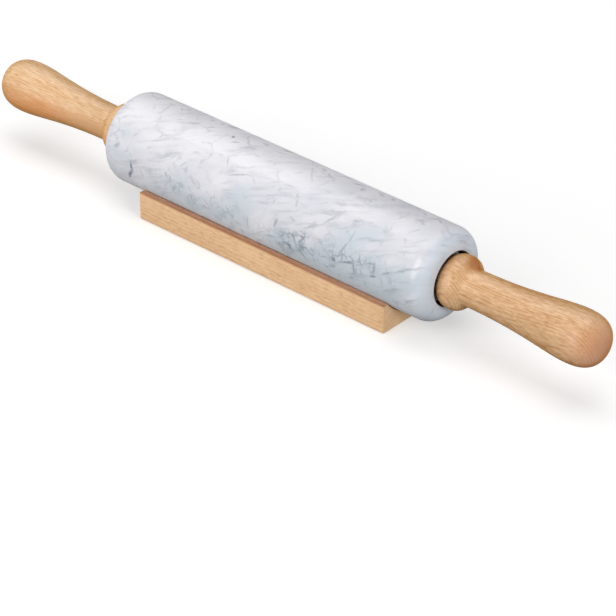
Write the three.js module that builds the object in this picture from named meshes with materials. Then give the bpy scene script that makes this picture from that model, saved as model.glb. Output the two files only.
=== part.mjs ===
// Marble rolling pin with turned beech handles, lying in a beech cradle.
// Millimetres, +Z up. The pin lies along X, and the origin is on the table under its middle.
import * as THREE from 'three';

// Marble barrel
const barrelLength = 249.2;
const barrelDiameter = 57.2;
const barrelEdgeRadius = 9.8;
const barrelRim = 1; // least flat ring between the recess and the rounded edge
const recessDiameter = 32.6;
const recessMouthRadius = 1.2;
const boreClearance = 3; // from the axle to the marble

// Turned handle, with lengths counted outwards from the barrel's end face
const spigotInset = 3.8; // how deep the spigot behind the collar sits in the recess
const spigotRadius = 13;
const collarCrownPlace = 5.2;
const collarCrownRadius = 16.4;
const collarBackLength = 7.3; // half length of the ellipse that rounds the collar's back
const collarFrontPull = 0.68; // how far towards the neck the collar stays full
const collarNeckPull = 0.47; // how far back towards the collar the neck stays slim
const neckPlace = 16.2;
const neckRadius = 11.2;
const gripLength = 70.5; // from the neck to the widest ring
const gripNeckPull = 0.54; // how far along the grip the neck stays slim
const gripBellyPull = 0.21; // how far along the grip the belly stays full
const bellyRadius = 16.15;
const tipLength = 18.7; // from the widest ring to the tip
const tipSidePull = 0.56; // fullness of the tip along the pin
const tipEndPull = 0.82; // bluntness of the tip across the pin

// Axle and its fittings
const axleDiameter = 8;
const threadStep = 0.15; // how much slimmer the threaded ends are, in radius
const axleChamfer = 1;
const bushWall = 5.5;
const bushLength = 20;
const bushFlangeThickness = 2;
const bushFlangeClearance = 1.5; // from the flange's rim to the recess wall
const bushChamfer = 0.8;
const washerWidth = 3.7;
const washerThickness = 1.2;
const nutWall = 2.3;
const nutThickness = 4;
const nutChamfer = 0.4;
const insertWall = 1.9;
const insertLength = 20;
const insertChamfer = 0.6;
const axleTipInset = 4; // how far the axle stops short of the insert's end
const socketEndRoom = 1.5; // space in the handle behind the insert

// Cradle
const cradleLength = 190;
const cradleHeight = 18.7;
const cradleShift = 2.4; // the pin was laid down this far off the cradle's middle
const cradleLand = 4.1; // flat strip on each side of the trough
const cradleFloor = 7; // wood under the trough
const cradleCornerRadius = 1.6;
const cradleEndRound = 1;
const cradleEndSteps = 2;

// Clearances
const seatGap = 0.3; // between pieces that are fixed to each other
const runningGap = 0.3; // between pieces that turn on each other
const troughGap = 0.3; // between the barrel and the trough

// Facets
const barrelSides = 48;
const handleSides = 36;
const hardwareSides = 24;
const edgeSteps = 7;
const mouthSteps = 3;
const collarBackSteps = 5;
const collarFrontSteps = 11;
const gripSteps = 14;
const tipSteps = 9;
const troughSteps = 24;
const cornerSteps = 4;

// Sizes that follow from the ones above
const barrelRadius = barrelDiameter / 2;
const barrelEnd = barrelLength / 2;
const recessRadius = recessDiameter / 2;
const endWall = barrelRadius - recessRadius - recessMouthRadius - barrelRim;
const edgeRadius = Math.min(barrelEdgeRadius, endWall);

const axleRadius = axleDiameter / 2;
const threadRadius = axleRadius - threadStep;
const throughRadius = axleRadius + boreClearance;
const bushBoreRadius = axleRadius + runningGap;
const bushRadius = bushBoreRadius + bushWall;
const bushSeatRadius = bushRadius + seatGap;
const bushFlangeRadius = recessRadius - bushFlangeClearance;
const washerBoreRadius = axleRadius + seatGap;
const washerRadius = washerBoreRadius + washerWidth;
const threadBoreRadius = threadRadius + seatGap;
const nutFlatRadius = threadBoreRadius + nutWall;
const nutCornerRadius = nutFlatRadius / Math.cos(Math.PI / 6);
const insertRadius = threadBoreRadius + insertWall;

// Places along the pin, from the handle's inner face back to the recess floor and out to the axle's tip
const handleFace = barrelEnd - spigotInset;
const washerOuter = handleFace - seatGap;
const washerInner = washerOuter - washerThickness;
const flangeOuter = washerInner - runningGap;
const flangeInner = flangeOuter - bushFlangeThickness;
const recessFloor = flangeInner - seatGap;
const bushEnd = recessFloor - bushLength;
const bushSeatEnd = bushEnd - seatGap;
const nutInner = washerOuter + seatGap;
const nutOuter = nutInner + nutThickness;
const pocketFloor = nutOuter + seatGap;
const insertInner = pocketFloor + seatGap;
const insertOuter = insertInner + insertLength;
const socketEnd = insertOuter + socketEndRoom;
const axleEnd = insertOuter - axleTipInset;
const pocketRadius = nutCornerRadius + seatGap;
const socketRadius = insertRadius + seatGap;

const troughRadius = barrelRadius + troughGap;
const axisHeight = cradleFloor + troughRadius;

function point(radius, place) {
  return new THREE.Vector2(radius, place);
}

// An arc in a turned piece's profile, from one angle to another, with 0 pointing away from the axis.
function profileArc(centre, acrossRadius, alongRadius, startAngle, endAngle) {
  return new THREE.EllipseCurve(
    centre.x, centre.y, acrossRadius, alongRadius, startAngle, endAngle, endAngle < startAngle,
  );
}

// A solid turned about Y. A ring's profile is given without its closing point.
function turned(profile, sides) {
  return new THREE.LatheGeometry(profile, sides);
}

function turnedRing(profile, sides) {
  return turned([...profile, profile[0].clone()], sides);
}

function finish(color, roughness, metalness = 0) {
  return new THREE.MeshStandardMaterial({ color, roughness, metalness });
}

// A turned piece stands on Y, and this lays it along +X.
function layTurned(mesh) {
  mesh.rotation.z = -Math.PI / 2;
  return mesh;
}

// An extruded piece stands on Z, and this lays its depth along +X with its section in Y and Z.
function layExtruded(mesh) {
  mesh.quaternion.setFromAxisAngle(new THREE.Vector3(1, 1, 1).normalize(), (2 * Math.PI) / 3);
  return mesh;
}

function piece(name, geometry, material) {
  const mesh = new THREE.Mesh(geometry, material);
  mesh.name = name;
  return mesh;
}

function marbleBarrel() {
  const edge = profileArc(
    point(barrelRadius - edgeRadius, barrelEnd - edgeRadius), edgeRadius, edgeRadius, 0, Math.PI / 2,
  );
  const mouth = profileArc(
    point(recessRadius + recessMouthRadius, barrelEnd - recessMouthRadius),
    recessMouthRadius, recessMouthRadius, Math.PI / 2, Math.PI,
  );
  const rightHalf = [
    ...edge.getPoints(edgeSteps),
    ...mouth.getPoints(mouthSteps),
    point(recessRadius, recessFloor),
    point(bushSeatRadius, recessFloor),
    point(bushSeatRadius, bushSeatEnd),
    point(throughRadius, bushSeatEnd),
  ];
  const leftHalf = rightHalf.map((corner) => point(corner.x, -corner.y)).reverse();
  const geometry = turnedRing([...rightHalf, ...leftHalf], barrelSides);
  return layTurned(piece('marble_barrel', geometry, finish(0xe4e6ea, 0.25)));
}

function axleRod() {
  const rightHalf = [
    point(axleRadius, washerOuter),
    point(threadRadius, washerOuter),
    point(threadRadius, axleEnd - axleChamfer),
    point(threadRadius - axleChamfer, axleEnd),
    point(0, axleEnd),
  ];
  const leftHalf = rightHalf.map((corner) => point(corner.x, -corner.y)).reverse();
  const geometry = turned([...leftHalf, ...rightHalf], hardwareSides);
  return layTurned(piece('axle_rod', geometry, finish(0xb4b8bc, 0.35, 1)));
}

function bush(side) {
  const geometry = turnedRing(
    [
      point(bushRadius - bushChamfer, bushEnd),
      point(bushRadius, bushEnd + bushChamfer),
      point(bushRadius, flangeInner),
      point(bushFlangeRadius, flangeInner),
      point(bushFlangeRadius, flangeOuter),
      point(bushBoreRadius, flangeOuter),
      point(bushBoreRadius, bushEnd),
    ],
    hardwareSides,
  );
  return layTurned(piece(`bush_${side}`, geometry, finish(0xefece2, 0.5)));
}

function thrustWasher(side) {
  const geometry = turnedRing(
    [
      point(washerRadius, washerInner),
      point(washerRadius, washerOuter),
      point(washerBoreRadius, washerOuter),
      point(washerBoreRadius, washerInner),
    ],
    hardwareSides,
  );
  return layTurned(piece(`thrust_washer_${side}`, geometry, finish(0xbfc2c5, 0.3, 1)));
}

function lockNut(side) {
  const flats = 6;
  const corners = Array.from({ length: flats }, (_, index) => {
    const angle = (index * 2 * Math.PI) / flats;
    return new THREE.Vector2(nutCornerRadius * Math.cos(angle), nutCornerRadius * Math.sin(angle));
  });
  const outline = new THREE.Shape(corners);
  const bore = new THREE.EllipseCurve(0, 0, threadBoreRadius, threadBoreRadius, 0, 2 * Math.PI, true);
  outline.holes.push(new THREE.Path(bore.getPoints(hardwareSides).slice(0, -1)));
  const geometry = new THREE.ExtrudeGeometry(outline, {
    depth: nutThickness - 2 * nutChamfer,
    bevelThickness: nutChamfer,
    bevelSize: nutChamfer,
    bevelOffset: -nutChamfer,
    bevelSegments: 1,
  });
  const mesh = layExtruded(piece(`lock_nut_${side}`, geometry, finish(0xb0b3b6, 0.4, 1)));
  mesh.position.x = nutInner + nutChamfer;
  return mesh;
}

function threadedInsert(side) {
  const geometry = turnedRing(
    [
      point(insertRadius - insertChamfer, insertInner),
      point(insertRadius, insertInner + insertChamfer),
      point(insertRadius, insertOuter - insertChamfer),
      point(insertRadius - insertChamfer, insertOuter),
      point(threadBoreRadius, insertOuter),
      point(threadBoreRadius, insertInner),
    ],
    hardwareSides,
  );
  return layTurned(piece(`threaded_insert_${side}`, geometry, finish(0xc59a45, 0.35, 1)));
}

// The collar is rounded down to the spigot behind it, and swings in one curve down to the neck in front.
// The grip and the tip are Bezier curves that meet at the widest ring.
function handleOutline() {
  const crown = barrelEnd + collarCrownPlace;
  const neck = barrelEnd + neckPlace;
  const rise = collarCrownRadius - neckRadius;
  const spigotAngle = Math.asin((spigotRadius - neckRadius) / rise) - Math.PI / 2;
  const collarBack = profileArc(point(neckRadius, crown), rise, collarBackLength, spigotAngle, 0);
  const collarFront = new THREE.CubicBezierCurve(
    point(collarCrownRadius, crown),
    point(collarCrownRadius, crown + collarFrontPull * (neck - crown)),
    point(neckRadius, neck - collarNeckPull * (neck - crown)),
    point(neckRadius, neck),
  );

  const belly = neck + gripLength;
  const tip = belly + tipLength;
  const grip = new THREE.CubicBezierCurve(
    point(neckRadius, neck),
    point(neckRadius, neck + gripNeckPull * gripLength),
    point(bellyRadius, belly - gripBellyPull * gripLength),
    point(bellyRadius, belly),
  );
  const end = new THREE.CubicBezierCurve(
    point(bellyRadius, belly),
    point(bellyRadius, belly + tipSidePull * tipLength),
    point(tipEndPull * bellyRadius, tip),
    point(0, tip),
  );
  return [
    point(spigotRadius, handleFace),
    ...collarBack.getPoints(collarBackSteps),
    ...collarFront.getPoints(collarFrontSteps).slice(1),
    ...grip.getPoints(gripSteps).slice(1),
    ...end.getPoints(tipSteps).slice(1),
  ];
}

function handle(side) {
  const geometry = turned(
    [
      point(0, socketEnd),
      point(socketRadius, socketEnd),
      point(socketRadius, pocketFloor),
      point(pocketRadius, pocketFloor),
      point(pocketRadius, handleFace),
      ...handleOutline(),
    ],
    handleSides,
  );
  return layTurned(piece(`handle_${side}`, geometry, finish(0xd8a873, 0.5)));
}

// The right end's pieces lie along +X, and the left end is the same group turned half round.
function pinEnd(side, turn) {
  const end = new THREE.Group();
  end.add(bush(side), thrustWasher(side), lockNut(side), threadedInsert(side), handle(side));
  end.rotation.z = turn;
  return end;
}

// One corner of the cradle's section, a quarter circle from the angle given, turning to the left.
function sectionCorner(across, up, startAngle) {
  const quarter = new THREE.EllipseCurve(
    across, up, cradleCornerRadius, cradleCornerRadius, startAngle, startAngle + Math.PI / 2,
  );
  return quarter.getPoints(cornerSteps);
}

function cradle() {
  const drop = axisHeight - cradleHeight;
  const lip = Math.sqrt(troughRadius ** 2 - drop ** 2);
  const lipAngle = Math.atan2(drop, lip);
  const trough = new THREE.EllipseCurve(
    0, axisHeight, troughRadius, troughRadius, -lipAngle, lipAngle - Math.PI, true,
  );
  const side = lip + cradleLand - cradleCornerRadius;
  const top = cradleHeight - cradleCornerRadius;
  const section = new THREE.Shape([
    ...sectionCorner(-side, cradleCornerRadius, Math.PI),
    ...sectionCorner(side, cradleCornerRadius, -Math.PI / 2),
    ...sectionCorner(side, top, 0),
    ...trough.getPoints(troughSteps),
    ...sectionCorner(-side, top, Math.PI / 2),
  ]);
  const geometry = new THREE.ExtrudeGeometry(section, {
    depth: cradleLength - 2 * cradleEndRound,
    bevelThickness: cradleEndRound,
    bevelSize: cradleEndRound,
    bevelOffset: -cradleEndRound,
    bevelSegments: cradleEndSteps,
  });
  const mesh = layExtruded(piece('cradle', geometry, finish(0xd6a878, 0.55)));
  mesh.position.x = cradleShift - cradleLength / 2 + cradleEndRound;
  return mesh;
}

const pin = new THREE.Group();
pin.add(marbleBarrel(), axleRod(), pinEnd('right', 0), pinEnd('left', Math.PI));
pin.position.z = axisHeight;

const rollingPin = new THREE.Group();
rollingPin.add(cradle(), pin);

export default rollingPin;
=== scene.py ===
import math

import bmesh
import bpy
import numpy as np
from mathutils import Matrix, Quaternion, Vector


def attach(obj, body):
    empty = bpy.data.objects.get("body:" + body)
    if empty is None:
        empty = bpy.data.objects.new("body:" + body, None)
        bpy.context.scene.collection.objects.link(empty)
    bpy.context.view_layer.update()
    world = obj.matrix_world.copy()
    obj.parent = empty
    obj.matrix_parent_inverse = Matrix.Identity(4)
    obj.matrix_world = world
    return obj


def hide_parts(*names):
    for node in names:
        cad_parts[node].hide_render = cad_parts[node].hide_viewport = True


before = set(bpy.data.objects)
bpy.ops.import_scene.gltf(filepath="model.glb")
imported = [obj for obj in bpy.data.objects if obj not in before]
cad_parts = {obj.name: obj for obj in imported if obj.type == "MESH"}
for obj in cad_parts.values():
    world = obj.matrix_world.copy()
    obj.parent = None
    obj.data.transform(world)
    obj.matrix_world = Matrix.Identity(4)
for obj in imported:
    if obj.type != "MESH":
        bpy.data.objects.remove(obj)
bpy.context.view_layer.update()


# The studio is a seamless floor of matt white paper under soft boxes, with the camera standing at the
# photograph's viewing angle. None of it belongs to the pin, and its sizes are in metres.


def linear(hex_colour):
    """An sRGB hex colour as linear red, green, blue and alpha: a channel up to 0.04045 is divided by 12.92,
    and a larger one has 0.055 added, is divided by 1.055 and raised to the power 2.4."""
    channels = [int(hex_colour[i : i + 2], 16) / 255 for i in (1, 3, 5)]
    return [c / 12.92 if c <= 0.04045 else ((c + 0.055) / 1.055) ** 2.4 for c in channels] + [1.0]


def add(tree, kind, inputs=None, out=0, **settings):
    """Adds one shader node, makes its settings, fills its inputs with values or links, gives one output."""
    node = tree.nodes.new("ShaderNode" + kind)
    for name, value in settings.items():
        setattr(node, name, value)
    for socket, value in (inputs or {}).items():
        if isinstance(value, bpy.types.NodeSocket):
            tree.links.new(value, node.inputs[socket])
        else:
            node.inputs[socket].default_value = value
    return node.outputs[out] if node.outputs else None


def span(value, start, end, low, high):
    """The inputs with which a Map Range node takes a value from low at start to high at end."""
    return {"Value": value, "From Min": start, "From Max": end, "To Min": low, "To Max": high}


def empty_tree(owner):
    """Turns a material's or the world's nodes on and gives its tree with nothing in it."""
    owner.use_nodes = True
    owner.node_tree.nodes.clear()
    return owner.node_tree


def seen_directly(tree):
    """1 for rays from the camera, a gloss or through glass, and 0 for the light that a surface collects."""
    seen = add(tree, "LightPath", out="Is Camera Ray")
    for ray in ("Is Glossy Ray", "Is Transmission Ray"):
        seen = add(tree, "Math", {0: seen, 1: add(tree, "LightPath", out=ray)}, operation="MAXIMUM")
    return seen


def placed(name, data):
    """A new object in the scene that carries a mesh, a lamp or a camera."""
    thing = bpy.data.objects.new(name, data)
    bpy.context.scene.collection.objects.link(thing)
    return thing


floor_reach = 8.0
floor_corners = np.array([[-1, -1, 0], [1, -1, 0], [1, 1, 0], [-1, 1, 0]]) * floor_reach
floor_mesh = bpy.data.meshes.new("studio_floor")
floor_mesh.from_pydata(floor_corners.tolist(), [], [[0, 1, 2, 3]])
floor = placed("studio_floor", floor_mesh)

# Matt white paper: it shows white with a soft pale shadow, and goes over into the white background far off.
# What the camera sees is whiter than what the light meets, so that little light comes back from below.
white = linear("#FFFFFF")
paper_near = 0.5
paper_far = 2.2
near_glow = 0.42
whiteness_lit = 0.25
whiteness_seen = 0.78
paper = bpy.data.materials.new("matt_white_paper")
tree = empty_tree(paper)
place = add(tree, "NewGeometry", out="Position")
distance = add(tree, "VectorMath", {0: place}, out="Value", operation="LENGTH")
falling_off = span(distance, paper_near, paper_far, 0.0, 1.0)
far_off = add(tree, "MapRange", falling_off, interpolation_type="SMOOTHSTEP")
seen = seen_directly(tree)
glow = add(tree, "MapRange", {"Value": far_off, "To Min": near_glow, "To Max": 1.0})
glow = add(tree, "Math", {0: glow, 1: seen}, operation="MULTIPLY")
whiteness = add(tree, "MapRange", {"Value": seen, "To Min": whiteness_lit, "To Max": whiteness_seen})
near_by = add(tree, "MapRange", {"Value": far_off, "To Min": 1.0, "To Max": 0.0})
whiteness = add(tree, "Math", {0: whiteness, 1: near_by}, operation="MULTIPLY")
sheet = add(tree, "BsdfDiffuse", {"Color": whiteness})
glowing = add(tree, "Emission", {"Color": white, "Strength": glow})
add(tree, "OutputMaterial", {"Surface": add(tree, "AddShader", {0: sheet, 1: glowing})})
floor_mesh.materials.append(paper)

# The room gives an even soft light, and stands behind the floor as a white background.
room_light = 0.1
world = bpy.data.worlds.new("white_room")
bpy.context.scene.world = world
tree = empty_tree(world)
strength = add(tree, "MapRange", {"Value": seen_directly(tree), "To Min": room_light, "To Max": 1.0})
add(tree, "OutputWorld", {"Surface": add(tree, "Background", {"Color": white, "Strength": strength})})


def soft_box(name, place, aim, size, radiance, mirrored):
    """An evenly lit panel. Its power is its radiance times pi times its area, so a radiance of 1 is white. A
    fill panel that isn't mirrored lights the surfaces but leaves no bright patch in their polish."""
    lamp = bpy.data.lights.new(name, "AREA")
    lamp.shape = "RECTANGLE"
    lamp.size, lamp.size_y = size
    lamp.energy = radiance * math.pi * size[0] * size[1]
    box = placed(name, lamp)
    turn = (Vector(aim) - Vector(place)).to_track_quat("-Z", "Y")
    box.matrix_world = Matrix.LocRotScale(Vector(place), turn, None)
    box.visible_camera = False
    box.visible_glossy = mirrored


# The overhead box aims a hair off straight down, which settles the way its long side lies.
pin_middle = (0.0, 0.0, 0.03)
below_overhead = (-0.38, 0.3001, 0.0)
soft_box("overhead_soft_box", (-0.38, 0.3, 1.25), below_overhead, (1.8, 1.15), radiance=1.5, mirrored=True)
soft_box("front_soft_box", (-0.1, -1.3, 0.65), pin_middle, (0.9, 1.2), radiance=2.45, mirrored=True)
soft_box("left_fill", (-1.1, -1.2, 0.7), pin_middle, (0.8, 0.8), radiance=1.4, mirrored=False)
soft_box("low_left_fill", (-1.0, -1.4, 0.35), pin_middle, (0.8, 0.6), radiance=4.3, mirrored=False)
soft_box("right_fill", (1.6, -0.4, 0.5), pin_middle, (0.8, 0.8), radiance=6.2, mirrored=False)
soft_box("back_fill", (0.1, 1.7, 0.12), pin_middle, (2.0, 0.2), radiance=4.4, mirrored=False)

view_settings = bpy.context.scene.view_settings
view_settings.view_transform = "Standard"

# The camera was fitted to the outlines of the pin and the cradle in the photograph.
camera_place = Vector((0.96705, -1.09430, 0.89055))
camera_aim = Vector((0.08476, -0.07718, 0.0359))
camera_roll = math.radians(0.69)
lens = bpy.data.cameras.new("camera")
lens.sensor_width = 36.0
lens.lens = 170.06
camera = placed("camera", lens)
level = (camera_aim - camera_place).to_track_quat("-Z", "Y")
camera.matrix_world = Matrix.LocRotScale(camera_place, level @ Quaternion((0, 0, 1), camera_roll), None)
bpy.context.scene.camera = camera


# The cradle is one block of beech with a round trough that the barrel lies in. It is planed square, the
# trough is moulded along it, and all its edges are eased by sanding.

mm = 0.001
cradle_length = 190 * mm
cradle_shift = 2.4 * mm
cradle_height = 18.7 * mm
cradle_half_width = 27.3 * mm
cradle_foot = 1.6 * mm
cradle_edge = 0.8 * mm
cradle_lip = 1.2 * mm
cradle_end_round = 0.7 * mm
trough_radius = 28.9 * mm
axis_height = 35.9 * mm
corner_steps = 8
lip_steps = 5
trough_steps = 48
end_steps = 6


def arc(centre, radius, start, end, steps):
    """Points on a circle: the centre plus the radius times the cosine and sine of an angle, in degrees, that
    goes evenly from start to end."""
    angle = np.radians(np.linspace(start, end, steps + 1))
    return np.array(centre) + radius * np.stack([np.cos(angle), np.sin(angle)], 1)


# Points nearer than this become one, and an edge that turns by more than this is shown sharp.
same_place = 1e-7
sharp_turn = math.radians(35)


def skin(name, grid, ring=False, caps=False):
    """A mesh on a grid of points, with a face between each point and its neighbours in the next row and
    column. Each row closes on itself, and in a ring the last row joins the first. Caps fill the first and
    last rows, and points that fall together, as at a pole, become one."""
    rows, columns = grid.shape[:2]
    number = np.arange(rows * columns).reshape(rows, columns)
    row_end = rows if ring else rows - 1
    row, column = np.meshgrid(np.arange(row_end), np.arange(columns), indexing="ij")
    next_row = (row + 1) % rows
    next_column = (column + 1) % columns
    faces = np.stack(
        [
            number[row, column],
            number[next_row, column],
            number[next_row, next_column],
            number[row, next_column],
        ],
        -1,
    )
    faces = faces.reshape(-1, 4).tolist()
    if caps:
        faces += [number[0].tolist(), number[-1].tolist()]
    mesh = bpy.data.meshes.new(name)
    mesh.from_pydata(grid.reshape(-1, 3).tolist(), [], faces)
    body = bmesh.new()
    body.from_mesh(mesh)
    bmesh.ops.remove_doubles(body, verts=body.verts, dist=same_place)
    bmesh.ops.recalc_face_normals(body, faces=body.faces)
    body.to_mesh(mesh)
    body.free()
    mesh.polygons.foreach_set("use_smooth", np.ones(len(mesh.polygons), bool))
    mesh.set_sharp_from_angle(angle=sharp_turn)
    return placed(name, mesh)


def cradle_section():
    """The cradle's outline across the pin, as one closed line: quarter circles at the four outer corners, a
    small arc at each lip that touches the flat land and the trough, and the trough's arc between them."""
    foot_side = cradle_half_width - cradle_foot
    side = cradle_half_width - cradle_edge
    top = cradle_height - cradle_edge
    lip_up = cradle_height - cradle_lip
    drop = axis_height - lip_up
    lip_across = math.sqrt((trough_radius + cradle_lip) ** 2 - drop**2)
    slope = math.degrees(math.atan2(drop, lip_across))
    return np.concatenate(
        [
            arc((-foot_side, cradle_foot), cradle_foot, 180, 270, corner_steps),
            arc((foot_side, cradle_foot), cradle_foot, 270, 360, corner_steps),
            arc((side, top), cradle_edge, 0, 90, corner_steps),
            arc((lip_across, lip_up), cradle_lip, 90, 180 - slope, lip_steps),
            arc((0, axis_height), trough_radius, -slope, slope - 180, trough_steps)[1:-1],
            arc((-lip_across, lip_up), cradle_lip, slope, 90, lip_steps),
            arc((-side, top), cradle_edge, 90, 180, corner_steps),
        ]
    )


def carried_along(section, start, end, end_round, steps):
    """A closed section carried along X. Towards each end it is drawn in along its own outward direction by
    the end radius times one minus the cosine of an angle, while it goes on by the radius times the sine."""
    along = np.roll(section, -1, 0) - np.roll(section, 1, 0)
    outward = np.stack([along[:, 1], -along[:, 0]], 1)
    outward /= np.linalg.norm(outward, axis=1, keepdims=True)
    angle = np.linspace(0, math.pi / 2, steps + 1)
    drawn_in = end_round * (1 - np.cos(angle))
    right = end - end_round * (1 - np.sin(angle))
    left = start + end_round * (1 - np.sin(angle))
    stations = np.concatenate([left[::-1], right])
    drawn_in = np.concatenate([drawn_in[::-1], drawn_in])
    across = section[None] - outward[None] * drawn_in[:, None, None]
    place = np.broadcast_to(stations[:, None, None], across.shape[:2] + (1,))
    return np.concatenate([place, across], -1)


def gloss(tree, strength, start, end):
    """The strength of a polish that fades where the surface turns edge on, as if the far walls were dark."""
    edge_on = add(tree, "LayerWeight", out="Facing")
    return add(tree, "MapRange", span(edge_on, start, end, strength, 0.0), interpolation_type="SMOOTHSTEP")


# A Mix node's colours go by number, because their names repeat in it, and so does the mixed colour.
mix_first = 6
mix_second = 7
mix_out = 2


def blend(factor, first, second):
    """The inputs with which a Mix node goes from a first colour at a factor of 0 to a second one at 1."""
    return {0: factor, mix_first: first, mix_second: second}


# Each board is read from another stretch of one pattern, this many millimetres from the next.
board_spacing = 137.0


def beech(name, pale, deep, fleck, pith, ring, streak, seed, roughness, shine, shade_and_stains=()):
    """Sawn or turned beech with the grain along X. Its growth rings are circles round a pith line beside the
    piece, drawn as the fraction of the distance from the pith over the ring's width. Its fibres are streaks
    of a given length, and its rays are short spindles along the grain, some strong and some faint, drawn
    about twice their real thickness so that they show. On end grain the rings show more, and the fibres and
    rays less. A soft darker patch is given by its middle and its half sizes in millimetres and its colour;
    some of these patches are darker wood, and some are painted shade."""
    material = bpy.data.materials.new(name)
    tree = empty_tree(material)
    own_stretch = Vector((seed * board_spacing, 0, 0))
    place = add(tree, "TexCoord", out="Object")
    grain = add(tree, "VectorMath", {0: place, "Scale": 1 / mm}, operation="SCALE")
    grain = add(tree, "VectorMath", {0: grain, 1: own_stretch}, operation="ADD")

    # The rings wander by up to 0.9 mm, over 45 mm along the grain and 16 mm across it. The last part of each
    # ring is dark late wood, more so in some years than in others.
    slow = add(tree, "VectorMath", {0: grain, 1: (1 / 45, 1 / 16, 1 / 16)}, operation="MULTIPLY")
    wander = add(tree, "TexNoise", {"Vector": slow, "Scale": 1.0, "Detail": 3.0}, out="Color")
    wander = add(tree, "VectorMath", {0: wander, 1: (0.5, 0.5, 0.5)}, operation="SUBTRACT")
    wander = add(tree, "VectorMath", {0: wander, 1: (0, 1.8, 1.8)}, operation="MULTIPLY")
    bent = add(tree, "VectorMath", {0: grain, 1: wander}, operation="ADD")
    from_pith = add(tree, "VectorMath", {0: bent, 1: (0, *pith)}, operation="SUBTRACT")
    from_pith = add(tree, "VectorMath", {0: from_pith, 1: (0, 1, 1)}, operation="MULTIPLY")
    radius = add(tree, "VectorMath", {0: from_pith}, out="Value", operation="LENGTH")
    years = add(tree, "Math", {0: radius, 1: ring}, operation="DIVIDE")
    late = add(tree, "Math", {0: years}, operation="FRACT")
    late = add(tree, "MapRange", span(late, 0.4, 1.0, 0.0, 1.0), interpolation_type="SMOOTHSTEP")
    year = add(tree, "Math", {0: years}, operation="FLOOR")
    vigour = add(tree, "TexWhiteNoise", {"W": year}, noise_dimensions="1D")
    vigour = add(tree, "MapRange", {"Value": vigour, "To Min": 0.35, "To Max": 1.0})
    late = add(tree, "Math", {0: late, 1: vigour}, operation="MULTIPLY")

    # Fibres are 1.25 mm apart, and the board's own tone changes over 40 mm along the grain and 12 mm across.
    facing = add(tree, "SeparateXYZ", {0: add(tree, "TexCoord", out="Normal")})
    facing = add(tree, "Math", {0: facing}, operation="ABSOLUTE")
    end_grain = add(tree, "MapRange", span(facing, 0.45, 0.9, 0.0, 1.0), interpolation_type="SMOOTHSTEP")
    fibre_scale = (1 / streak, 1 / 1.25, 1 / 1.25)
    fibre_place = add(tree, "VectorMath", {0: bent, 1: fibre_scale}, operation="MULTIPLY")
    fibre = add(
        tree,
        "TexNoise",
        {"Vector": fibre_place, "Scale": 1.0, "Detail": 2.0, "Roughness": 0.6, "Distortion": 0.4},
    )
    board_place = add(tree, "VectorMath", {0: grain, 1: (1 / 40, 1 / 12, 1 / 12)}, operation="MULTIPLY")
    board = add(tree, "TexNoise", {"Vector": board_place, "Scale": 1.0, "Detail": 2.0})
    board_weight = 0.7
    late_weight = add(tree, "MapRange", {"Value": end_grain, "To Min": 0.38, "To Max": 0.75})
    fibre_weight = add(tree, "MapRange", {"Value": end_grain, "To Min": 1.5, "To Max": 0.5})
    fibre = add(tree, "Math", {0: fibre, 1: 0.5}, operation="SUBTRACT")
    middle_tone = add(tree, "MapRange", {"Value": end_grain, "To Min": 0.75, "To Max": 0.58})
    tone = add(tree, "Math", {0: late, 1: late_weight, 2: middle_tone}, operation="MULTIPLY_ADD")
    tone = add(tree, "Math", {0: fibre, 1: fibre_weight, 2: tone}, operation="MULTIPLY_ADD")
    tone = add(tree, "Math", {0: board, 1: board_weight, 2: tone}, operation="MULTIPLY_ADD")
    tone = add(tree, "MapRange", {"Value": tone, "From Min": 0.82, "From Max": 1.62})
    colour = add(tree, "Mix", blend(tone, linear(pale), linear(deep)), out=mix_out, data_type="RGBA")

    # Rays lie 6 mm apart along the grain and 1.7 mm across it.
    ray_scale = (1 / 6, 1 / 1.7, 1 / 1.7)
    ray_place = add(tree, "VectorMath", {0: grain, 1: ray_scale}, operation="MULTIPLY")
    ray = add(tree, "TexVoronoi", {"Vector": ray_place, "Scale": 1.0})
    chance = add(tree, "SeparateXYZ", {0: ray.node.outputs["Color"]})
    ray = add(tree, "MapRange", span(ray, 0.08, 0.38, 0.7, 0.0), interpolation_type="SMOOTHSTEP")
    chance = add(tree, "MapRange", span(chance, 0.2, 1.0, 0.0, 1.0), interpolation_type="SMOOTHSTEP")
    ray = add(tree, "Math", {0: ray, 1: chance}, operation="MULTIPLY")
    ray_weight = add(tree, "MapRange", {"Value": end_grain, "To Min": 1.0, "To Max": 0.3})
    ray = add(tree, "Math", {0: ray, 1: ray_weight}, operation="MULTIPLY")
    colour = add(tree, "Mix", blend(ray, colour, linear(fleck)), out=mix_out, data_type="RGBA")
    # Each patch darkens the colour towards its own; some are darker wood, and some are painted shade.
    for middle, half_sizes, dark in shade_and_stains:
        shade_and_stain = add(tree, "TexGradient", {"Vector": bent}, out="Fac", gradient_type="SPHERICAL")
        mapping = shade_and_stain.node.texture_mapping
        mapping.vector_type = "TEXTURE"
        mapping.translation = Vector(middle) + own_stretch
        mapping.scale = half_sizes
        shade_and_stain = add(tree, "MapRange", span(shade_and_stain, 0.0, 0.8, 0.0, 0.75), interpolation_type="SMOOTHSTEP")
        colour = add(tree, "Mix", blend(shade_and_stain, colour, linear(dark)), out=mix_out, data_type="RGBA")
    rough = add(tree, "MapRange", {"Value": tone, "To Min": roughness - 0.05, "To Max": roughness + 0.08})
    relief = add(tree, "Bump", {"Strength": 0.3, "Distance": 0.05 * mm, "Height": tone}, invert=True)
    surface = {
        "Base Color": colour,
        "Roughness": rough,
        "Normal": relief,
        "IOR": 1.5,
        "Specular IOR Level": gloss(tree, shine, start=0.3, end=0.62),
    }
    add(tree, "OutputMaterial", {"Surface": add(tree, "BsdfPrincipled", surface)})
    return material


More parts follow.
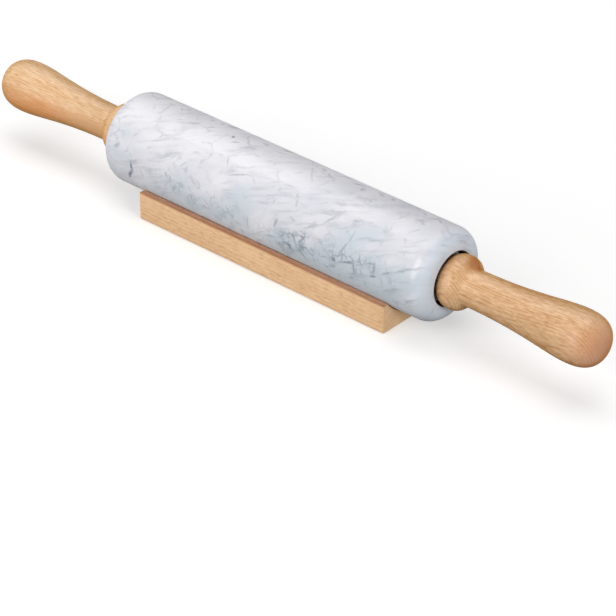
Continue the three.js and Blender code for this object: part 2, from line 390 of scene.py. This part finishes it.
cradle = skin(
    "beech_cradle",
    carried_along(
        cradle_section(),
        cradle_shift - cradle_length / 2,
        cradle_shift + cradle_length / 2,
        cradle_end_round,
        end_steps,
    ),
    caps=True,
)
# Sanded beech: warm peach tan with short red-brown ray flecks on its sides and ring lines on its ends. The
# trough and the lands beside it take a second beech, painted darker and redder as the shade under the
# barrel, with brown painted shade along the lands' outer edges.
cradle_board = {"pith": (30, -95), "ring": 2.3, "streak": 5, "seed": 1, "shine": 0.5}
sanded = beech("sanded_beech", "#F9D2A5", "#E3B081", "#CC9463", roughness=0.5, **cradle_board)
# The lands' outer edges are painted brown as shade.
edge_shade_half_sizes = (400, 1.7, 1.7)
painted_edge_shade = []
for side in (-1, 1):
    edge = (cradle_shift / mm, side * cradle_half_width / mm, cradle_height / mm)
    painted_edge_shade.append((edge, edge_shade_half_sizes, "#9E6230"))
# A beech painted darker and redder as the shade under the barrel.
painted_shade = beech(
    "painted_shade_beech",
    "#E0AF8F",
    "#C5906F",
    "#A4724F",
    roughness=0.45,
    shade_and_stains=painted_edge_shade,
    **cradle_board,
)
cradle.data.materials.append(sanded)
cradle.data.materials.append(painted_shade)

# The faces of the trough and the lands are those that look up; they take the beech painted with shade.
least_upward = 0.05
upward = np.empty(len(cradle.data.polygons) * 3)
cradle.data.polygons.foreach_get("normal", upward)
upward = upward.reshape(-1, 3)[:, 2]
cradle.data.polygons.foreach_set("material_index", (upward > least_upward).astype(int))
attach(cradle, "cradle")
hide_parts("cradle")


# The barrel is one piece of white marble, turned on a lathe, with rounded ends, a recess in each end for the
# handle's spigot and a bore for the axle. It is ground and polished all over.

barrel_end = 124.6 * mm
barrel_radius = 28.6 * mm
barrel_edge = 9.8 * mm
recess_radius = 16.3 * mm
recess_mouth = 1.2 * mm
recess_floor = 116.7 * mm
bush_seat_radius = 10.1 * mm
bush_seat_end = 96.4 * mm
through_radius = 7.0 * mm
side_steps = 12
edge_steps = 24
mouth_steps = 8


def turned(name, profile, columns, ring):
    """A profile of places along the pin and radii, turned about the pin's axis: a point's height is the axis
    height plus its radius times the cosine of the angle, and it lies the sine of it towards the front. In a
    ring the profile closes on itself."""
    angle = np.linspace(0, 2 * math.pi, columns, endpoint=False)
    place = np.broadcast_to(profile[:, :1], (len(profile), columns))
    across = -profile[:, 1:] * np.sin(angle)
    up = axis_height + profile[:, 1:] * np.cos(angle)
    return skin(name, np.stack([place, across, up], -1), ring)


def between(start, end, steps):
    """Points at even steps on a straight line, with both of its ends."""
    return np.linspace(start, end, steps + 1)


edge_start = barrel_end - barrel_edge
mouth_start = barrel_end - recess_mouth
right_half = np.concatenate(
    [
        between((0, barrel_radius), (edge_start, barrel_radius), side_steps)[:-1],
        arc((edge_start, barrel_radius - barrel_edge), barrel_edge, 90, 0, edge_steps),
        arc((mouth_start, recess_radius + recess_mouth), recess_mouth, 0, -90, mouth_steps),
        between((recess_floor, recess_radius), (recess_floor, bush_seat_radius), 2),
        between((bush_seat_end, bush_seat_radius), (bush_seat_end, through_radius), 1),
    ]
)
left_half = right_half[:0:-1] * (-1, 1)
barrel = turned("marble_roller", np.concatenate([right_half, left_half]), columns=240, ring=True)

# Polished white marble: cool white with soft lilac and blue-grey clouds that lie in beds, wisps and hairline
# cracks filled with grey, and a few dark flecks. The polish shows the soft box overhead as a pale band.
white_stone = "#F0EFF4"
lilac_cloud = "#E2E1E8"
blue_grey_cloud = "#D2DBE2"
blue_end = "#E2ECF8"
vein_grey = "#76818F"
recess_shade_brown = "#5C4C40"
marble = bpy.data.materials.new("polished_white_marble")
tree = empty_tree(marble)
stone = add(tree, "TexCoord", out="Object")
stone = add(tree, "VectorMath", {0: stone, "Scale": 1 / mm}, operation="SCALE")

# The beds are sheets that rise to the right and to the front.
across_beds = Vector((0.37, -0.46, -0.81)).normalized()


def shaken(tree, place, size, amount):
    """A place moved in every direction by noise of a size in millimetres, by up to about half the amount."""
    noise = add(tree, "TexNoise", {"Vector": place, "Scale": 1 / size, "Detail": 3.0}, out="Color")
    noise = add(tree, "VectorMath", {0: noise, 1: (0.5, 0.5, 0.5)}, operation="SUBTRACT")
    noise = add(tree, "VectorMath", {0: noise, "Scale": amount}, operation="SCALE")
    return add(tree, "VectorMath", {0: place, 1: noise}, operation="ADD")


def bedded(tree, place, stretch):
    """A place whose part across the beds is kept and whose part along them is divided by the stretch, so
    that a pattern read there comes out drawn out along the beds."""
    depth = add(tree, "VectorMath", {0: place, 1: across_beds}, out="Value", operation="DOT_PRODUCT")
    depth = add(tree, "Math", {0: depth, 1: 1 - 1 / stretch}, operation="MULTIPLY")
    depth = add(tree, "VectorMath", {0: across_beds, "Scale": depth}, operation="SCALE")
    place = add(tree, "VectorMath", {0: place, "Scale": 1 / stretch}, operation="SCALE")
    return add(tree, "VectorMath", {0: place, 1: depth}, operation="ADD")


# Clouds and their tints are 18 and 19 mm across, and twice as long along the beds. The haze, 16 mm across,
# says where wisps gather.
rumpled = shaken(tree, stone, size=30, amount=20)
clouds = bedded(tree, rumpled, stretch=2.0)
cloud = add(tree, "TexNoise", {"Vector": clouds, "Scale": 1 / 18, "Detail": 6.0, "Roughness": 0.6})
tint = add(tree, "TexNoise", {"Vector": clouds, "Scale": 1 / 19, "Detail": 2.0})
haze = add(tree, "TexNoise", {"Vector": rumpled, "Scale": 1 / 16, "Detail": 3.0})

# Wisps are long thin streaks in the beds, about a millimetre thick. Towards the back they are painted a
# little denser and darker as shade.
wisps = bedded(tree, shaken(tree, stone, size=14, amount=7), stretch=11)
wisp = add(tree, "TexNoise", {"Vector": wisps, "Scale": 1 / 2.8, "Detail": 3.0, "Roughness": 0.5})
towards_back_shade = add(tree, "SeparateXYZ", {0: stone}, out="Y")
towards_back_shade = add(tree, "MapRange", span(towards_back_shade, -2.0, 18.0, 0.0, 1.0), interpolation_type="SMOOTHSTEP")
denser_as_shade = 0.03
wisp = add(tree, "Math", {0: towards_back_shade, 1: denser_as_shade, 2: wisp}, operation="MULTIPLY_ADD")
wisp = add(tree, "MapRange", span(wisp, 0.44, 0.76, 0.0, 1.0), interpolation_type="SMOOTHSTEP")
gathered = add(tree, "MapRange", span(haze, 0.4, 0.62, 0.15, 1.0), interpolation_type="SMOOTHSTEP")
wisp = add(tree, "Math", {0: wisp, 1: gathered}, operation="MULTIPLY")
# The wisps darken a little more towards the back, as painted shade.
wisp_strength = add(tree, "MapRange", {"Value": towards_back_shade, "To Min": 0.37, "To Max": 0.41})
wisp = add(tree, "Math", {0: wisp, 1: wisp_strength}, operation="MULTIPLY")

# Healed cracks meet at corners, as between broken pieces 13 mm across, and fade in and out.
crack_place = shaken(tree, bedded(tree, stone, stretch=1.4), size=12, amount=7)
crack_place = shaken(tree, crack_place, size=3, amount=1.5)
crack = add(tree, "TexVoronoi", {"Vector": crack_place, "Scale": 1 / 13}, feature="DISTANCE_TO_EDGE")
crack = add(tree, "MapRange", span(crack, 0.0, 0.075, 0.26, 0.0), interpolation_type="SMOOTHSTEP")
fade = add(tree, "TexNoise", {"Vector": stone, "Scale": 1 / 9, "Detail": 2.0})
fade = add(tree, "MapRange", span(fade, 0.44, 0.66, 0.0, 1.0), interpolation_type="SMOOTHSTEP")
crack = add(tree, "Math", {0: crack, 1: fade}, operation="MULTIPLY")
marks = add(tree, "Math", {0: wisp, 1: crack}, operation="MAXIMUM")


def on_barrel(along, angle):
    """A point on the barrel's surface, from a place along it in millimetres and an angle in degrees from its
    top towards the front, and the direction out of the surface there."""
    turn = math.radians(angle)
    out = Vector((0, -math.sin(turn), math.cos(turn)))
    return Vector((along, 0, axis_height / mm)) + out * (barrel_radius / mm), out


# Half of a spindle's length, as a share of the distance between the two points that it runs through.
spindle_reach = 0.72


def spindle(tree, place, start, end, half_width, depth):
    """A long flat ellipsoid in the stone that fades from 1 at its middle to 0 at its skin. It lies in the
    barrel's surface along two points, given along the barrel and round it, and runs a little past both."""
    centre, out = on_barrel((start[0] + end[0]) / 2, (start[1] + end[1]) / 2)
    run = on_barrel(*end)[0] - on_barrel(*start)[0]
    ahead = (run - out * run.dot(out)).normalized()
    fading = add(tree, "TexGradient", {"Vector": place}, out="Fac", gradient_type="SPHERICAL")
    mapping = fading.node.texture_mapping
    mapping.vector_type = "TEXTURE"
    mapping.translation = centre
    mapping.rotation = Matrix((ahead, out.cross(ahead), out)).transposed().to_euler()
    mapping.scale = (run.length * spindle_reach, half_width, depth)
    return fading


# Patches of crazing: start and end in millimetres along the barrel and degrees round it, half width in
# millimetres, strength and web. A web's cells and lines are sizes in millimetres too.
patches = [
    ((6, 104), (104, 80), 15, 0.5, "wide"),
    ((16, 108), (46, 80), 12, 0.7, "fine"),
    ((52, 98), (98, 80), 9, 0.36, "wide"),
    ((-82, 84), (4, 100), 13, 0.34, "wide"),
    ((-60, 160), (50, 210), 22, 0.5, "wide"),
    ((-90, 300), (10, 270), 18, 0.45, "fine"),
]
patch_depth = 18
web_cells = {"wide": 6.5, "fine": 3.4}
web_line = 0.8
crazed = shaken(tree, stone, size=14, amount=12)
crazed = shaken(tree, crazed, size=3.5, amount=3.4)
broken = add(tree, "TexNoise", {"Vector": stone, "Scale": 1 / 6, "Detail": 2.0})
webs = {}
for web, cell in web_cells.items():
    away = add(tree, "TexVoronoi", {"Vector": crazed, "Scale": 1 / cell}, feature="DISTANCE_TO_EDGE")
    fading_off = span(away, 0.0, web_line / cell, 1.0, 0.0)
    webs[web] = add(tree, "MapRange", fading_off, interpolation_type="SMOOTHSTEP")
craze = 0.0
for start, end, half_width, strength, web in patches:
    patch = spindle(tree, crazed, start, end, half_width, patch_depth)
    patch = add(tree, "MapRange", span(patch, 0.0, 0.65, 0.0, strength), interpolation_type="SMOOTHSTEP")
    patch = add(tree, "Math", {0: patch, 1: webs[web]}, operation="MULTIPLY")
    craze = add(tree, "Math", {0: craze, 1: patch}, operation="MAXIMUM")
kept_lines = add(tree, "MapRange", span(broken, 0.36, 0.62, 0.1, 1.0), interpolation_type="SMOOTHSTEP")
craze = add(tree, "Math", {0: craze, 1: kept_lines}, operation="MULTIPLY")
marks = add(tree, "Math", {0: marks, 1: craze}, operation="MAXIMUM")

# Single veins and flecks: start and end in millimetres along the barrel and degrees round it, half width in
# millimetres, and strength.
veins = [
    ((-98, 85), (-97, 101), 1.3, 0.8),
    ((-96, 95), (-102, 113), 1.3, 0.8),
    ((-112, 77), (-108, 70), 1.6, 0.4),
    ((-71, 78), (-69, 86), 1.1, 0.7),
    ((-66, 81), (-65, 88), 0.9, 0.35),
    ((-61, 88), (-64, 101), 2.2, 0.35),
    ((-59, 84), (-54, 89), 2.4, 0.25),
    ((-80, 39), (-69, 27), 1.2, 0.22),
    ((-57, 44), (-50, 42), 1.2, 0.25),
    ((-61, 6), (-56, -1), 1.0, 0.35),
    ((-53, 14), (-48, 7), 0.8, 0.25),
    ((-41.5, 0), (-40, 2.5), 1.4, 0.75),
    ((-39, 11), (-33, 5), 0.9, 0.35),
    ((-97, -6), (-93, -12), 2.2, 0.25),
    ((-88, -12), (-85, -6), 1.0, 0.3),
    ((-61, 64), (-55, 56), 1.0, 0.25),
    ((-69, 60), (-65, 54), 1.4, 0.25),
    ((-32, 29), (-28, 45), 1.1, 0.3),
    ((-26, 50), (-8, 38), 0.8, 0.35),
    ((-8, 38), (3, 34), 0.8, 0.15),
    ((4, 37), (11, 32), 1.0, 0.25),
    ((11, 35), (21, 30), 1.0, 0.28),
    ((-9, 40), (-5, 49), 1.2, 0.22),
    ((23, 36), (27, 41), 0.9, 0.35),
    ((26, 40), (28, 53), 0.9, 0.25),
    ((18, 72), (16, 85), 1.1, 0.5),
    ((-4, 86), (-5, 106), 0.9, 0.35),
    ((7, 104), (27, 89), 0.9, 0.4),
    ((27, 90), (39, 77), 0.8, 0.35),
    ((30, 78), (33, 100), 1.3, 0.6),
    ((32, 93), (40, 113), 1.3, 0.6),
    ((38, 84), (38, 98), 1.1, 0.3),
    ((17, 110), (26, 97), 2.2, 0.35),
    ((26, 64), (31, 67), 1.2, 0.3),
    ((16.5, -16), (17.5, -12), 1.0, 0.45),
    ((17, -8), (20, 2), 1.0, 0.25),
    ((12, 15), (17, 8), 1.0, 0.25),
    ((25, 7), (33, -7), 1.2, 0.2),
    ((36, 71), (52, 54), 1.1, 0.38),
    ((47, 60), (57, 37), 1.1, 0.34),
    ((52, 43), (58, 37), 0.9, 0.28),
    ((58, 55), (73, 42), 1.0, 0.22),
    ((65, 40), (71, 37), 1.6, 0.35),
    ((71, 48), (69, 66), 1.1, 0.35),
    ((70, 60), (64, 86), 1.1, 0.45),
    ((61, 87), (61, 93.5), 2.0, 1.0),
    ((64, 92), (77, 83), 1.1, 0.75),
    ((75, 81), (77, 98), 1.1, 0.65),
    ((76, 85), (85, 79), 1.0, 0.4),
    ((83, 82), (84, 70), 1.2, 0.42),
    ((84, 78), (91, 73), 0.9, 0.6),
    ((90, 71), (91, 87), 1.1, 0.6),
    ((87, 77), (88, 87), 0.8, 0.35),
    ((87, 92), (93, 87), 1.1, 0.7),
    ((74, 101), (89, 89), 2.0, 0.3),
    ((94, 85), (103, 75), 0.9, 0.55),
    ((101, 77), (123, 53), 1.1, 0.38),
    ((95, 84), (97, 98), 1.3, 0.25),
    ((97, 105), (111, 89), 1.8, 0.3),
    ((71, 109), (77, 102), 1.2, 0.35),
    ((58, 105), (63, 97), 1.3, 0.4),
    ((57, 12), (66, 2), 1.2, 0.3),
    ((99, 7), (105, -6), 2.0, 0.3),
    ((64, 76), (68, 82), 1.0, 0.3),
    ((110, 111), (122, 94), 1.0, 0.3),
    ((44, -13), (52, -20), 1.8, 0.4),
    ((53, -11), (56, -5), 1.5, 0.35),
    ((28, -12), (32, -2), 1.2, 0.3),
    ((20, -18), (25, -12), 1.6, 0.35),
    ((62, -21), (68, -11), 2.5, 0.35),
    ((72, -21), (75, -12), 1.6, 0.35),
    ((57, 5), (63, 12), 2.2, 0.22),
    ((64, 3), (68, 9), 1.6, 0.25),
    ((96, -18), (99, -13), 1.3, 0.4),
    ((107, -16), (111, -10), 1.6, 0.4),
    ((-66, -17), (-63, -13), 1.5, 0.3),
    ((-58, -20), (-56, -14), 1.2, 0.35),
    ((-24, -15), (-19, -11), 2.2, 0.35),
    ((-12, -20), (-5, -26), 2.4, 0.35),
    # The rest lie on the back.
    ((-95, 170), (-70, 145), 1.1, 0.5),
    ((-70, 145), (-62, 180), 0.9, 0.4),
    ((-20, 230), (5, 205), 1.2, 0.55),
    ((5, 205), (30, 196), 1.0, 0.4),
    ((60, 250), (85, 225), 1.1, 0.5),
    ((85, 225), (110, 215), 1.0, 0.35),
    ((-80, 260), (-55, 238), 1.2, 0.45),
    ((-40, 285), (-22, 268), 0.9, 0.4),
    ((30, 300), (52, 280), 1.0, 0.45),
    ((-112, 150), (-95, 132), 1.0, 0.4),
    ((-88, 205), (-66, 188), 1.1, 0.45),
    ((-66, 188), (-58, 204), 0.9, 0.35),
    ((-30, 150), (-12, 134), 1.0, 0.4),
    ((-12, 134), (-8, 150), 0.9, 0.35),
    ((20, 168), (44, 150), 1.1, 0.45),
    ((44, 150), (50, 172), 0.9, 0.35),
    ((70, 140), (88, 124), 1.0, 0.45),
    ((76, 186), (100, 168), 1.1, 0.4),
    ((-105, 235), (-84, 218), 1.0, 0.4),
    ((-52, 262), (-30, 244), 1.1, 0.4),
    ((12, 262), (34, 246), 1.0, 0.4),
    ((34, 246), (38, 262), 0.9, 0.3),
    ((88, 282), (108, 262), 1.0, 0.4),
    ((-100, 310), (-78, 294), 1.0, 0.35),
    ((56, 318), (76, 302), 1.0, 0.35),
    ((-14, 322), (4, 308), 0.9, 0.35),
]
# They are drawn a little wider than listed, because their edges fade out.
vein_spread = 1.15
vein_depth = 9
drawn = shaken(tree, stone, size=6, amount=3.2)
drawn = shaken(tree, drawn, size=1.8, amount=1.0)
for start, end, half_width, strength in veins:
    vein = spindle(tree, drawn, start, end, half_width * vein_spread, vein_depth)
    vein = add(tree, "MapRange", span(vein, 0.0, 0.8, 0.0, strength), interpolation_type="SMOOTHSTEP")
    marks = add(tree, "Math", {0: marks, 1: vein}, operation="MAXIMUM")
uneven = add(tree, "MapRange", span(broken, 0.3, 0.6, 0.55, 1.1), interpolation_type="SMOOTHSTEP")
marks = add(tree, "Math", {0: marks, 1: uneven}, operation="MULTIPLY")

# The stone is more clouded towards the lower front and the right, partly by its own clouding and partly
# as painted shade, and its clouds are bluer there.
clouding_and_shade_way = (0.45, -1.0, -1.2)
bluer_way = (0.2, -1.0, -1.2)
from_axis = add(tree, "VectorMath", {0: stone, 1: (0, 0, axis_height / mm)}, operation="SUBTRACT")
clouding_and_shade = add(tree, "VectorMath", {0: from_axis, 1: clouding_and_shade_way}, out="Value", operation="DOT_PRODUCT")
# Part of this clouding is painted shade.
clouding_and_shade = add(tree, "MapRange", span(clouding_and_shade, -100.0, 100.0, -0.08, 0.2), interpolation_type="SMOOTHSTEP")
cloud = add(tree, "Math", {0: cloud, 1: clouding_and_shade}, operation="ADD")
bluer = add(tree, "VectorMath", {0: from_axis, 1: bluer_way}, out="Value", operation="DOT_PRODUCT")
bluer = add(tree, "MapRange", span(bluer, -20.0, 50.0, -0.1, 0.3), interpolation_type="SMOOTHSTEP")
tint = add(tree, "Math", {0: tint, 1: bluer}, operation="ADD")
tint = add(tree, "MapRange", span(tint, 0.42, 0.82, 0.0, 1.0), interpolation_type="SMOOTHSTEP")
cloud_colours = blend(tint, linear(lilac_cloud), linear(blue_grey_cloud))
clouded = add(tree, "Mix", cloud_colours, out=mix_out, data_type="RGBA")
cloud = add(tree, "MapRange", span(cloud, 0.34, 0.7, 0.0, 1.0), interpolation_type="SMOOTHSTEP")
ground = add(tree, "Mix", blend(cloud, linear(white_stone), clouded), out=mix_out, data_type="RGBA")

# It runs bluer over the last millimetres at both ends. The recesses are painted dark brown as shade.
end_face = barrel_end / mm
recess_wall = recess_radius / mm
endward = add(tree, "Math", {0: add(tree, "SeparateXYZ", {0: stone})}, operation="ABSOLUTE")
turning_blue = span(endward, end_face - 7.6, end_face - 0.6, 0.0, 0.75)
endward = add(tree, "MapRange", turning_blue, interpolation_type="SMOOTHSTEP")
ground = add(tree, "Mix", blend(endward, ground, linear(blue_end)), out=mix_out, data_type="RGBA")
veined = add(tree, "Mix", blend(marks, ground, linear(vein_grey)), out=mix_out, data_type="RGBA")
from_axis = add(tree, "VectorMath", {0: from_axis, 1: (0, 1, 1)}, operation="MULTIPLY")
from_axis = add(tree, "VectorMath", {0: from_axis}, out="Value", operation="LENGTH")
# Inside the recess radius the stone is painted dark brown as shade.
turning_to_shade = span(from_axis, recess_wall + 0.4, recess_wall + 1.0, 1.0, 0.0)
inside = add(tree, "MapRange", turning_to_shade, interpolation_type="SMOOTHSTEP")
veined = add(tree, "Mix", blend(inside, veined, linear(recess_shade_brown)), out=mix_out, data_type="RGBA")
polish = add(tree, "MapRange", {"Value": marks, "To Min": 0.1, "To Max": 0.25})
surface = {
    "Base Color": veined,
    "Roughness": polish,
    "IOR": 1.5,
    "Specular IOR Level": gloss(tree, 0.5, start=0.12, end=0.5),
}
add(tree, "OutputMaterial", {"Surface": add(tree, "BsdfPrincipled", surface)})
barrel.data.materials.append(marble)
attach(barrel, "barrel")
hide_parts("marble_barrel")


# The axle and its fittings lie inside the barrel and the handles: a zinc-plated rod, washers and lock nuts,
# nylon bushes pressed into the barrel, and brass inserts screwed into the handles.


def fitting(name, colour, shade, metallic, rough, grain, scratch):
    """A small turned or moulded fitting: fine marks round or along it, drawn out by the three grain sizes in
    millimetres, vary its colour and its roughness a little, and are as deep as a scratch in millimetres."""
    material = bpy.data.materials.new(name)
    tree = empty_tree(material)
    place = add(tree, "TexCoord", out="Object")
    place = add(tree, "VectorMath", {0: place, "Scale": 1 / mm}, operation="SCALE")
    marks = add(tree, "VectorMath", {0: place, 1: [1 / size for size in grain]}, operation="MULTIPLY")
    marks = add(tree, "TexNoise", {"Vector": marks, "Scale": 1.0, "Detail": 3.0})
    tone = add(tree, "MapRange", span(marks, 0.3, 0.7, 0.0, 1.0), interpolation_type="SMOOTHSTEP")
    mixed = add(tree, "Mix", blend(tone, linear(colour), linear(shade)), out=mix_out, data_type="RGBA")
    worn = add(tree, "MapRange", {"Value": tone, "To Min": rough, "To Max": rough + 0.15})
    relief = add(tree, "Bump", {"Strength": 0.3, "Distance": scratch * mm, "Height": marks})
    surface = {"Base Color": mixed, "Roughness": worn, "Metallic": metallic, "Normal": relief}
    add(tree, "OutputMaterial", {"Surface": add(tree, "BsdfPrincipled", surface)})
    return material


# Zinc plate is a cool silver with fine turning lines, nylon a milky off-white, and brass a warm yellow.
turning_lines = {"metallic": 1.0, "grain": (0.5, 6, 6), "scratch": 0.02}
moulding_marks = {"metallic": 0.0, "grain": (3, 3, 3), "scratch": 0.03}
zinc = fitting("zinc_plated_steel", "#C4C8CC", "#A9AEB4", rough=0.28, **turning_lines)
nylon = fitting("moulded_nylon", "#EFECE2", "#E4E0D3", rough=0.45, **moulding_marks)
brass = fitting("turned_brass", "#D9B25F", "#C0963F", rough=0.25, **turning_lines)
finishes = {
    "axle_rod": zinc,
    "thrust_washer": zinc,
    "lock_nut": zinc,
    "bush": nylon,
    "threaded_insert": brass,
}
for node_name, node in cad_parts.items():
    for kind, finish in finishes.items():
        if node_name.startswith(kind):
            node.data.materials.clear()
            node.data.materials.append(finish)


# The handles are turned from beech: a short spigot in the barrel's recess, a round collar, a slim neck and a
# grip that swells to a blunt tip. They are sanded and oiled, and screw onto the axle.

spigot_inset = 3.8 * mm
spigot_radius = 13.0 * mm
collar_place = 5.2 * mm
collar_radius = 16.4 * mm
collar_back_length = 7.3 * mm
neck_place = 16.2 * mm
neck_radius = 11.2 * mm
grip_length = 70.5 * mm
belly_radius = 16.15 * mm
tip_length = 18.7 * mm
nut_pocket_radius = 7.75 * mm
nut_pocket_floor = 125.1 * mm
socket_radius = 6.35 * mm
socket_end = 146.9 * mm
collar_back_steps = 14
collar_steps = 28
grip_steps = 56
tip_steps = 36

# How far the outline holds level after one ring and before the next, as a share of the way between them, and
# how full the tip is, as a share of the widest radius.
after_crown = 0.68
before_neck = 0.47
after_neck = 0.54
before_belly = 0.21
after_belly = 0.56
tip_fullness = 0.82


def bezier(points, steps):
    """A cubic curve through its first and last points: the four points weighted with (1-t)^3, 3t(1-t)^2,
    3t^2(1-t) and t^3."""
    t = np.linspace(0, 1, steps + 1)[:, None]
    first, second, third, last = np.array(points)
    return (1 - t) ** 3 * first + 3 * t * (1 - t) ** 2 * second + 3 * t**2 * (1 - t) * third + t**3 * last


def handle_profile():
    """The handle's outline as places and radii, from the bottom of its socket round to its tip: the back of
    the collar is part of an ellipse, and its front, the grip and the tip are cubic curves that run into each
    other at the collar's crown, the neck and the widest ring."""
    face = barrel_end - spigot_inset
    crown = barrel_end + collar_place
    rise = collar_radius - neck_radius
    behind = math.asin((spigot_radius - neck_radius) / rise) - math.pi / 2
    angle = np.linspace(behind, 0, collar_back_steps + 1)
    collar_back = np.stack(
        [crown + collar_back_length * np.sin(angle), neck_radius + rise * np.cos(angle)], 1
    )
    neck = barrel_end + neck_place
    belly = neck + grip_length
    tip = belly + tip_length
    return np.concatenate(
        [
            between((socket_end, 0), (socket_end, socket_radius), 3),
            between((nut_pocket_floor, socket_radius), (nut_pocket_floor, nut_pocket_radius), 1),
            between((face, nut_pocket_radius), (face, spigot_radius), 2),
            collar_back,
            bezier(
                [
                    (crown, collar_radius),
                    (crown + after_crown * (neck - crown), collar_radius),
                    (neck - before_neck * (neck - crown), neck_radius),
                    (neck, neck_radius),
                ],
                collar_steps,
            )[1:],
            bezier(
                [
                    (neck, neck_radius),
                    (neck + after_neck * grip_length, neck_radius),
                    (belly - before_belly * grip_length, belly_radius),
                    (belly, belly_radius),
                ],
                grip_steps,
            )[1:],
            bezier(
                [
                    (belly, belly_radius),
                    (belly + after_belly * tip_length, belly_radius),
                    (tip, tip_fullness * belly_radius),
                    (tip, 0),
                ],
                tip_steps,
            )[1:],
        ]
    )


# Oiled beech: honey tan with a satin gloss, ring lines over the collar and the tip, and brown ray flecks.
# The right handle has darker wood in its tip, and a dark orange patch on its collar, partly darker wood
# and partly painted shade. The left one was cut from a paler and yellower board, and is painted orange
# along its lower side as shade.
oiled = {"roughness": 0.4, "shine": 0.9}
dark_wood_and_collar_shade = [
    # The two on the collar are partly darker wood and partly painted shade; the third is darker tip wood.
    ((137, 3.5, 49), (8, 9.5, 8), "#BC7818"),
    ((137, 4.5, 49), (7.5, 9, 7.5), "#A85C08"),
    ((232, -4, 34), (32, 24, 24), "#CC8862"),
]
warm_board = {"pith": (63, 65), "ring": 1.35, "streak": 6, "seed": 2, "shade_and_stains": dark_wood_and_collar_shade}
warm_beech = beech("oiled_beech", "#E7BC8B", "#BD854E", "#B27742", **warm_board, **oiled)
orange_underside_shade = [
    # Painted shade along the lower front side.
    ((-180, -16, 29), (80, 9, 20), "#DA8430"),
    ((-148, -11, 33), (38, 8, 12), "#D9A065"),
]
pale_board = {"pith": (40, 105), "ring": 1.45, "streak": 9, "seed": 3, "shade_and_stains": orange_underside_shade}
pale_beech = beech("oiled_pale_beech", "#F0C99D", "#D09B61", "#C08A52", **pale_board, **oiled)
boards = {"right": (1, warm_beech), "left": (-1, pale_beech)}
for side, (direction, board) in boards.items():
    profile = handle_profile() * (direction, 1)
    handle = turned("turned_handle_" + side, profile, columns=160, ring=False)
    handle.data.materials.append(board)
    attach(handle, "handles")
    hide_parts("handle_" + side)
